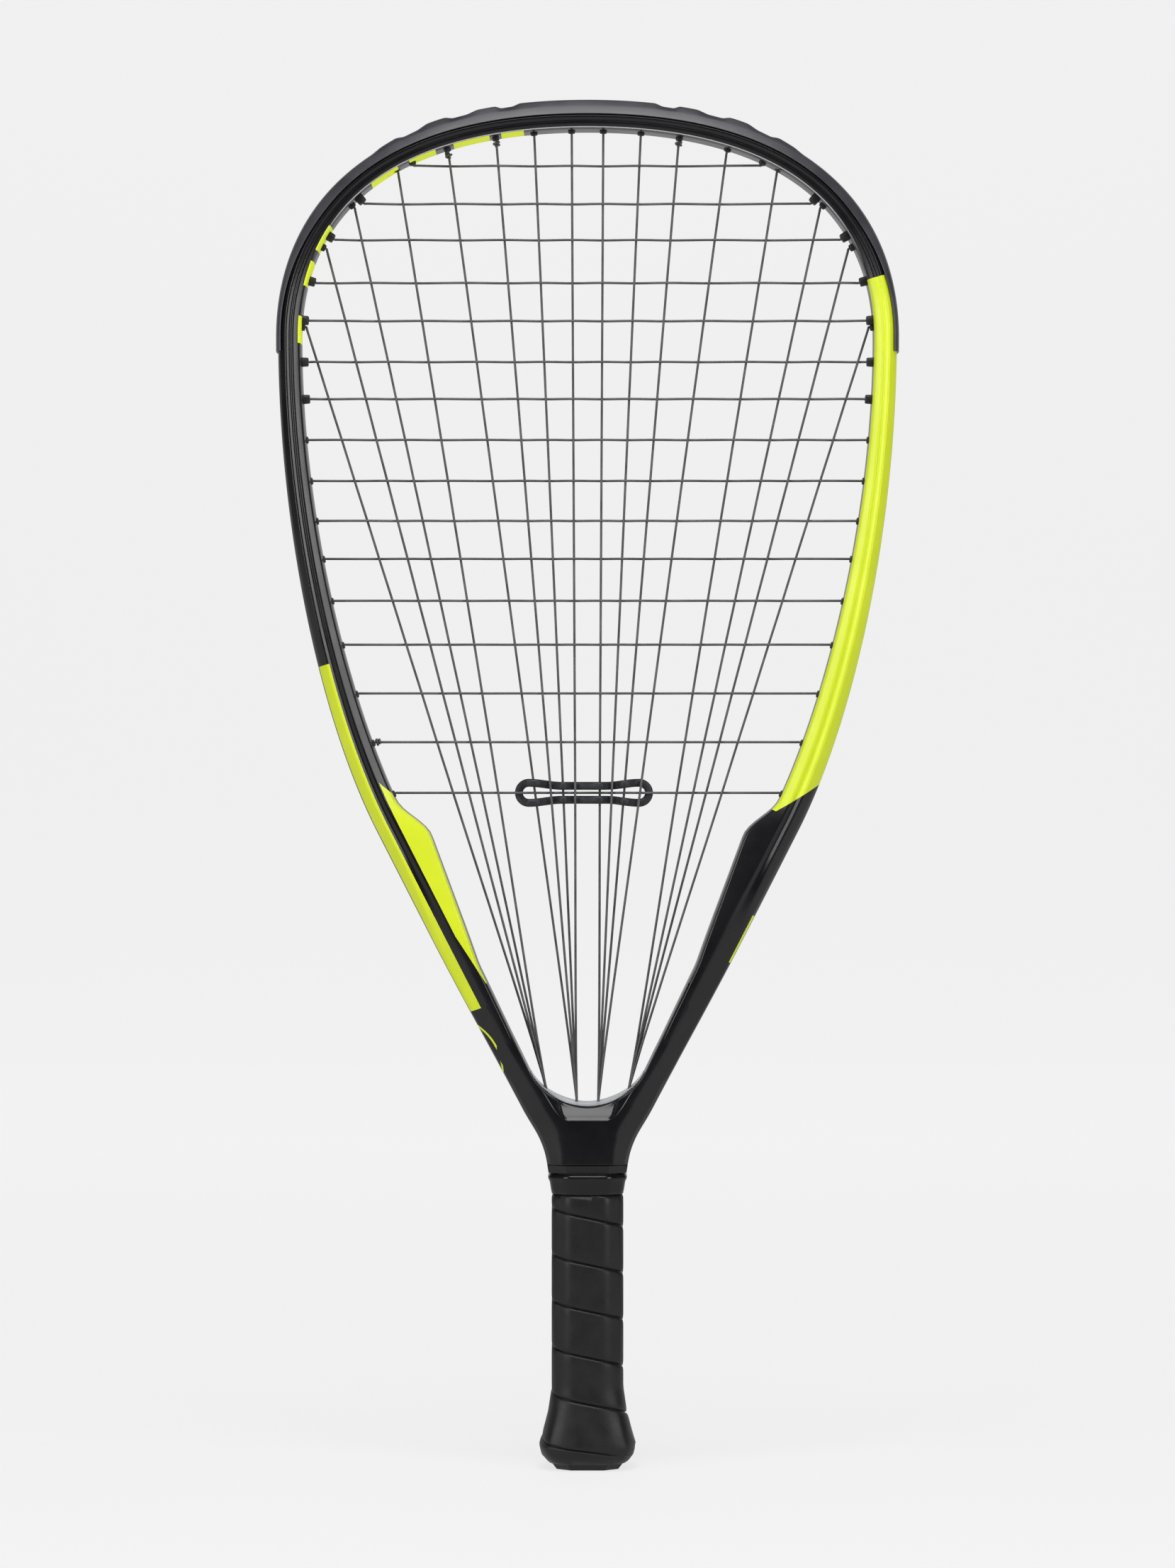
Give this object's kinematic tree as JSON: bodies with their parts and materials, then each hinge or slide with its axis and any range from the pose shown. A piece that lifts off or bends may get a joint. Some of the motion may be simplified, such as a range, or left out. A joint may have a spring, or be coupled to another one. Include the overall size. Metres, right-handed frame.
{
  "type": "racquetball racket",
  "caption": "Teardrop-headed racquetball racket with woven strings fanned from the throat, a head guard, an inner-railed hollow frame, a loop dampener and an octagonal wrapped grip.",
  "frame": {"origin": "the middle of the butt's flat end, on the handle's axis", "axes": "+Z from the butt to the crown of the head, X across the face, +Y from the front face to the back face, the string bed in the plane y = 0"},
  "size_m": [0.2544, 0.0328, 0.5588],
  "materials": {
    "lacquered_composite": "satin black lacquer with lime panels",
    "guard_plastic": "matt moulded grey",
    "grommet_plastic": "matt black",
    "clear_plastic": "clear, polished",
    "string": "smooth grey",
    "soft_rubber": "matt dark grey",
    "foam": "moulded foam skin",
    "cap_rubber": "matt black",
    "tack_steel": "plain",
    "grip_tape": "soft textured black",
    "end_tape": "satin black",
    "collar_rubber": "matt black"
  },
  "bodies": {
    "root": {"frame": "lacquered_composite", "bumper_guard": "guard_plastic", "head_grommet_strip": "grommet_plastic", "side_grommet_strip_left": "grommet_plastic", "side_grommet_strip_right": "grommet_plastic", "throat_grommet_strip": "clear_plastic", "main_string": "string", "cross_string": "string", "vibration_dampener": "soft_rubber", "handle_pallet_front": "foam", "handle_pallet_back": "foam", "butt_cap": "cap_rubber", "butt_cap_tack_front": "tack_steel", "butt_cap_tack_back": "tack_steel", "grip_wrap": "grip_tape", "grip_end_tape": "end_tape", "grip_collar": "collar_rubber"}
  },
  "joints": []
}
